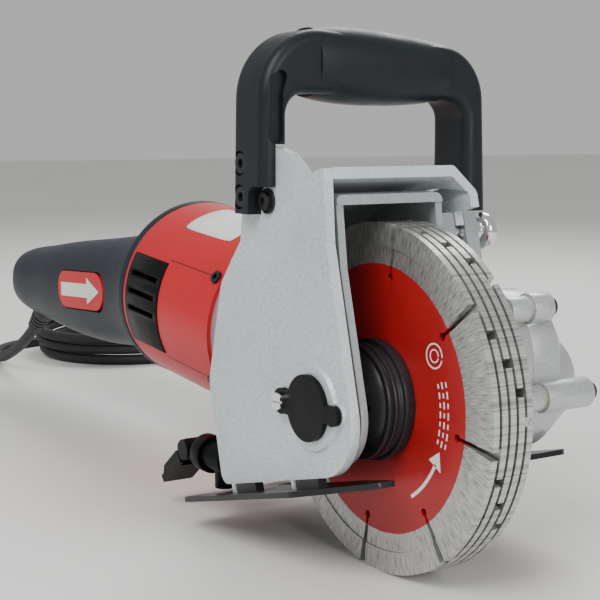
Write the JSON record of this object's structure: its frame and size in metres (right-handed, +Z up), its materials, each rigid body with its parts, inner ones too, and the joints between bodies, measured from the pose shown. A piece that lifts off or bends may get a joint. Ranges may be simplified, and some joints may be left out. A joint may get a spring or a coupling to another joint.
{
  "type": "wall chaser",
  "caption": "Hand-held electric wall chaser: a stack of slotted diamond blades in a tilting cast guard with bail handle and sole plate, bevel gear head, motor, rear switch handle and coiled cord.",
  "frame": {"origin": "centre of the spindle's nose end face, inside the guard behind the access cap", "axes": "+Y along the spindle from its nose towards the gear head, +X forward out of the blade mouth, +Z up as the tool stands"},
  "size_m": [0.781, 0.304, 0.2424],
  "materials": {
    "blade_steel": "satin paint on steel",
    "diamond_rim": "ground",
    "black_steel": "black oxide",
    "screw_black": "black oxide",
    "bright_steel": "ground",
    "chrome": "polished",
    "cast_alu": "fine cast, satin",
    "red_shell": "satin gloss",
    "slate_plastic": "fine texture",
    "black_plastic": "matt",
    "cord_rubber": "matt",
    "laminated_iron": "varnished",
    "copper": "turned",
    "carbon": "dull",
    "gasket_paper": "paper"
  },
  "bodies": {
    "blades": {"blade_core_1": "blade_steel", "blade_core_2": "blade_steel", "blade_core_3": "blade_steel", "blade_core_4": "blade_steel", "blade_core_5": "blade_steel", "blade_segments_1": "diamond_rim", "blade_segments_2": "diamond_rim", "blade_segments_3": "diamond_rim", "blade_segments_4": "diamond_rim", "blade_segments_5": "diamond_rim", "spacer_rings": "black_steel", "inner_flange": "black_steel", "outer_flange": "black_steel", "clamp_collar": "black_steel", "lock_nut": "black_steel", "spindle": "bright_steel", "bevel_gear": "bright_steel"},
    "armature": {"armature_shaft": "bright_steel", "armature_core": "laminated_iron", "commutator": "copper", "cooling_fan": "black_plastic", "bevel_pinion": "bright_steel"},
    "lock_knob": {"lock_plunger": "chrome"},
    "cap": {"access_cap": "black_plastic"},
    "switch": {"switch_slide": "red_shell"},
    "tap_lever": {"valve_lever": "black_plastic"},
    "guard": {"side_plate": "cast_alu", "ear_screw": "chrome", "top_shell": "cast_alu", "bail_handle": "black_plastic", "handle_screws": "screw_black", "cap_screw": "bright_steel", "sole_plate": "black_steel", "sole_blocks": "black_steel", "sole_pins": "bright_steel", "water_valve": "black_plastic", "hose_tail": "black_plastic"},
    "machine": {"brush_holders": "black_plastic", "carbon_brushes": "carbon", "cord": "cord_rubber", "cord_coil": "cord_rubber", "cover_screws": "screw_black", "flange_screws": "screw_black", "front_bearing": "bright_steel", "gasket": "gasket_paper", "gear_case": "cast_alu", "gear_cover": "cast_alu", "inner_guard": "cast_alu", "lock_spring": "screw_black", "motor_housing": "red_shell", "pinion_bearing": "bright_steel", "plug": "cord_rubber", "rear_bearing": "bright_steel", "rear_handle_left": "slate_plastic", "rear_handle_right": "slate_plastic", "stator": "laminated_iron", "strain_relief": "cord_rubber", "switch_body": "black_plastic", "tail_bearing": "bright_steel", "vent_panels": "black_plastic"}
  },
  "joints": [
    {"name": "blade_spin", "type": "hinge", "parent": "machine", "child": "blades", "pos_m": [0, 0.05, 0], "axis": [0, 1, 0], "continuous": true},
    {"name": "armature_spin", "type": "hinge", "parent": "machine", "child": "armature", "pos_m": [0, 0.067, 0], "axis": [0.996, 0, -0.0898], "continuous": true},
    {"name": "guard_tilt", "type": "hinge", "parent": "machine", "child": "guard", "pos_m": [0, 0, 0], "axis": [0, 1, 0], "range_deg": [-10, 8]},
    {"name": "lock_pull", "type": "slide", "parent": "machine", "child": "lock_knob", "axis": [0, 1, 0], "range_m": [0, 0.003], "stiffness_N_per_m": 900},
    {"name": "cap_swing", "type": "hinge", "parent": "guard", "child": "cap", "pos_m": [-0.0185, -0.014, 0], "axis": [0, 1, 0], "range_deg": [-110, 0]},
    {"name": "tap_turn", "type": "hinge", "parent": "guard", "child": "tap_lever", "pos_m": [-0.124, -0.002, -0.044], "axis": [0, 1, 0], "range_deg": [0, 80]},
    {"name": "switch_slide", "type": "slide", "parent": "machine", "child": "switch", "axis": [0.9985, 0, 0.055], "range_m": [0, 0.008]}
  ],
  "couplings": [
    {"joint": "armature_spin", "follows": "blade_spin", "ratio": 3}
  ]
}
